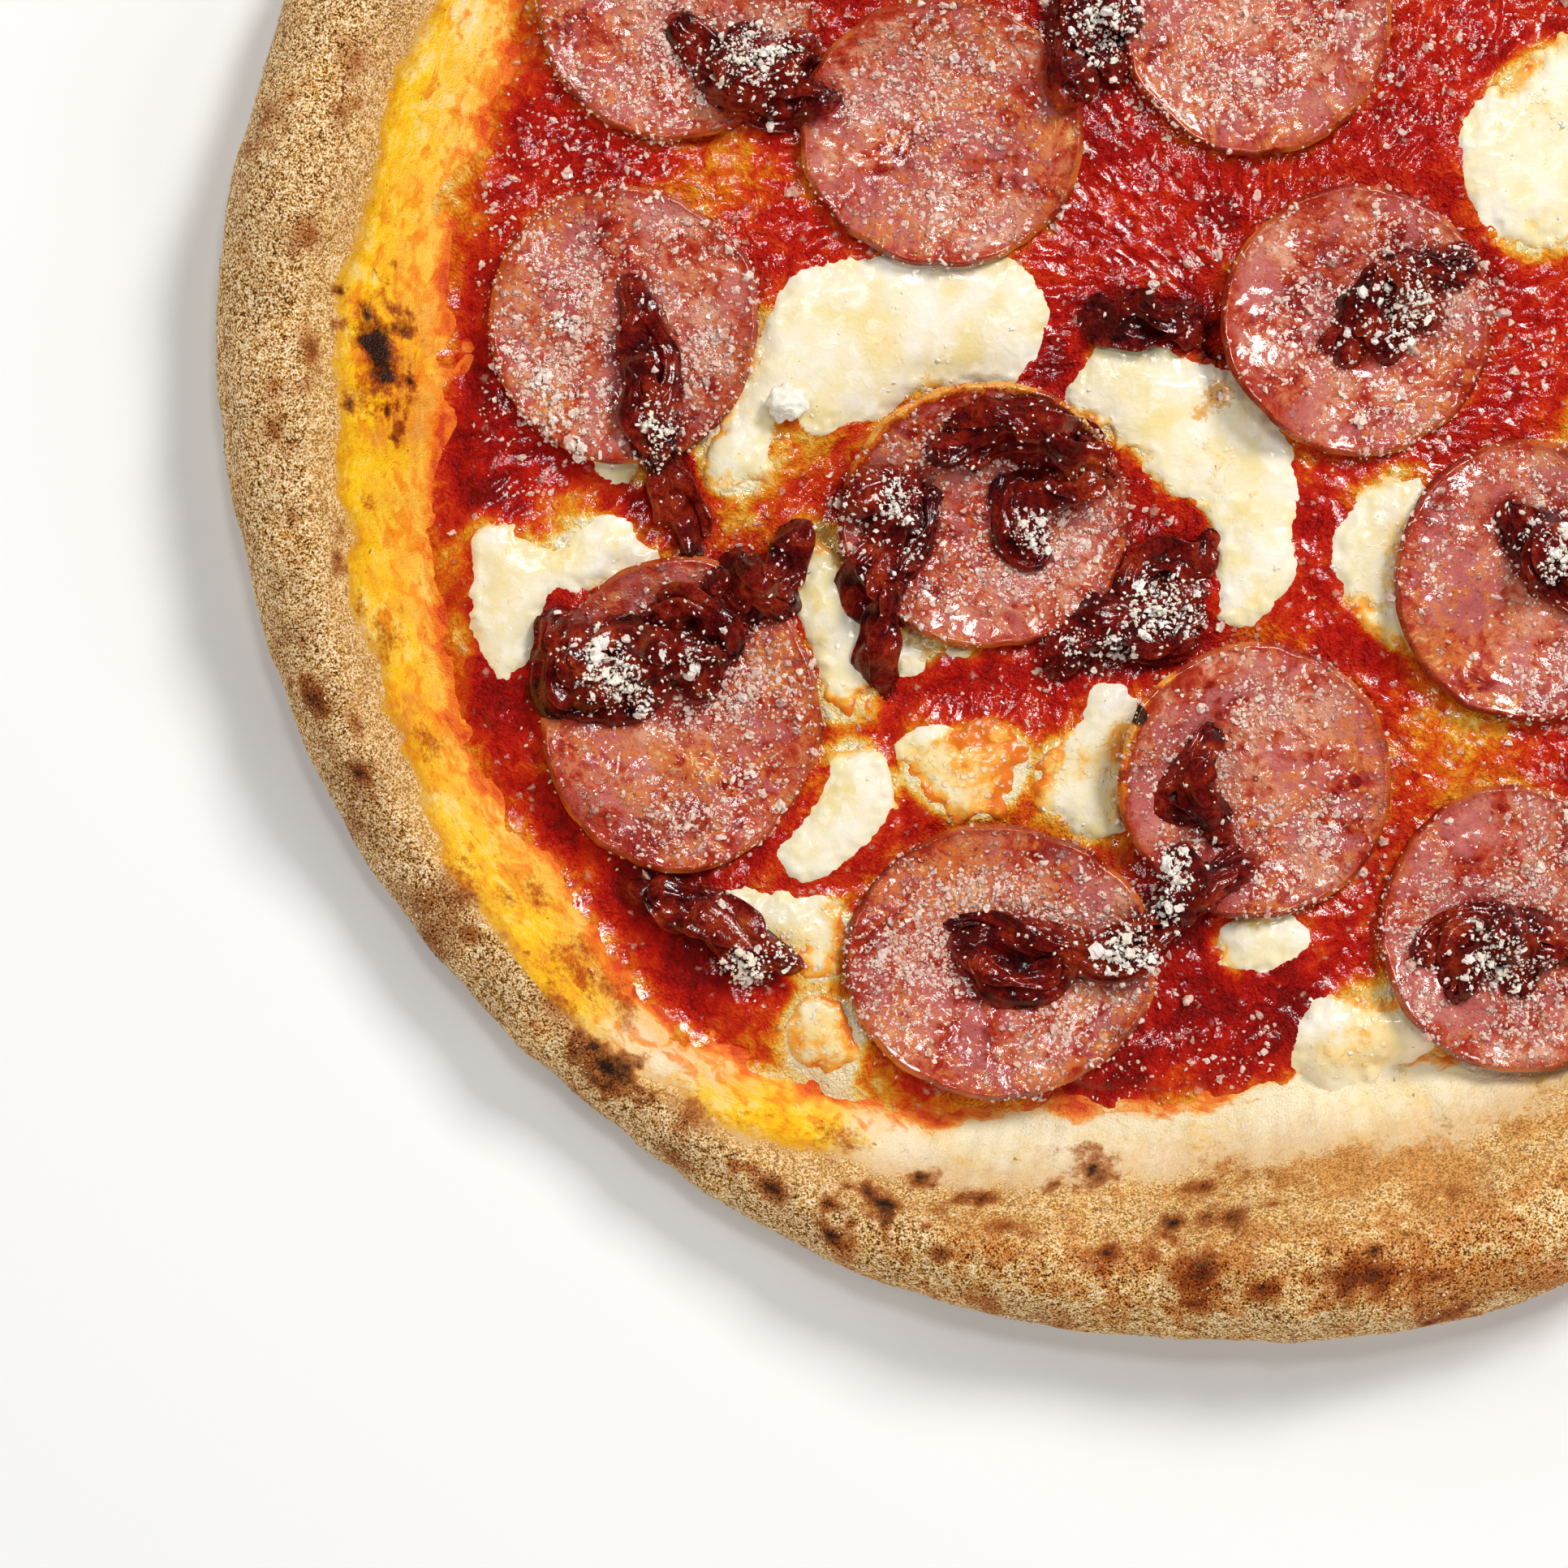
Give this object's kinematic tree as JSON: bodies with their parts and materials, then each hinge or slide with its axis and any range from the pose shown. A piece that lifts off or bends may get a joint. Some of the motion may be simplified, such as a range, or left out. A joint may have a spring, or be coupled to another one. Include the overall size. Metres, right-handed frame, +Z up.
{
  "type": "salami pizza",
  "caption": "Round baked pizza with a puffy rim, tomato sauce, melted cheese pools, salami slices, cooked onion strips and grated cheese crumbs.",
  "frame": {"origin": "middle of the flat underside", "axes": "+Z up out of the filling; -Y towards the edge nearest the eater, +X to the right"},
  "size_m": [0.3006, 0.2994, 0.0239],
  "materials": {
    "dough": "dry sandy crust, golden brown with dark blistered spots, matt",
    "sauce": "cooked tomato with an oily gloss",
    "cheese": "melted white cheese, soft gloss",
    "salami": "finely marbled cured meat with a film of fat",
    "onion": "dark caramelised onion, glossy and wrinkled",
    "grated_cheese": "fine dry crumbs of hard cheese"
  },
  "bodies": {
    "root": {"dough": "dough", "sauce": "sauce", "cheese_01": "cheese", "cheese_02": "cheese", "cheese_03": "cheese", "cheese_04": "cheese", "cheese_05": "cheese", "cheese_06": "cheese", "cheese_07": "cheese", "cheese_08": "cheese", "cheese_09": "cheese", "cheese_10": "cheese", "cheese_11": "cheese", "cheese_12": "cheese", "cheese_13": "cheese", "cheese_14": "cheese", "cheese_15": "cheese", "cheese_16": "cheese", "cheese_17": "cheese", "cheese_18": "cheese", "cheese_19": "cheese", "cheese_20": "cheese", "cheese_21": "cheese", "salami_01": "salami", "salami_02": "salami", "salami_03": "salami", "salami_04": "salami", "salami_05": "salami", "salami_06": "salami", "salami_07": "salami", "salami_08": "salami", "salami_09": "salami", "salami_10": "salami", "salami_11": "salami", "salami_12": "salami", "salami_13": "salami", "salami_14": "salami", "salami_15": "salami", "salami_16": "salami", "onion_01": "onion", "onion_02": "onion", "onion_03": "onion", "onion_04": "onion", "onion_05": "onion", "onion_06": "onion", "onion_07": "onion", "onion_08": "onion", "onion_09": "onion", "onion_10": "onion", "onion_11": "onion", "onion_12": "onion", "onion_13": "onion", "onion_14": "onion", "onion_15": "onion", "onion_16": "onion", "onion_17": "onion", "onion_18": "onion", "onion_19": "onion"}
  },
  "joints": []
}
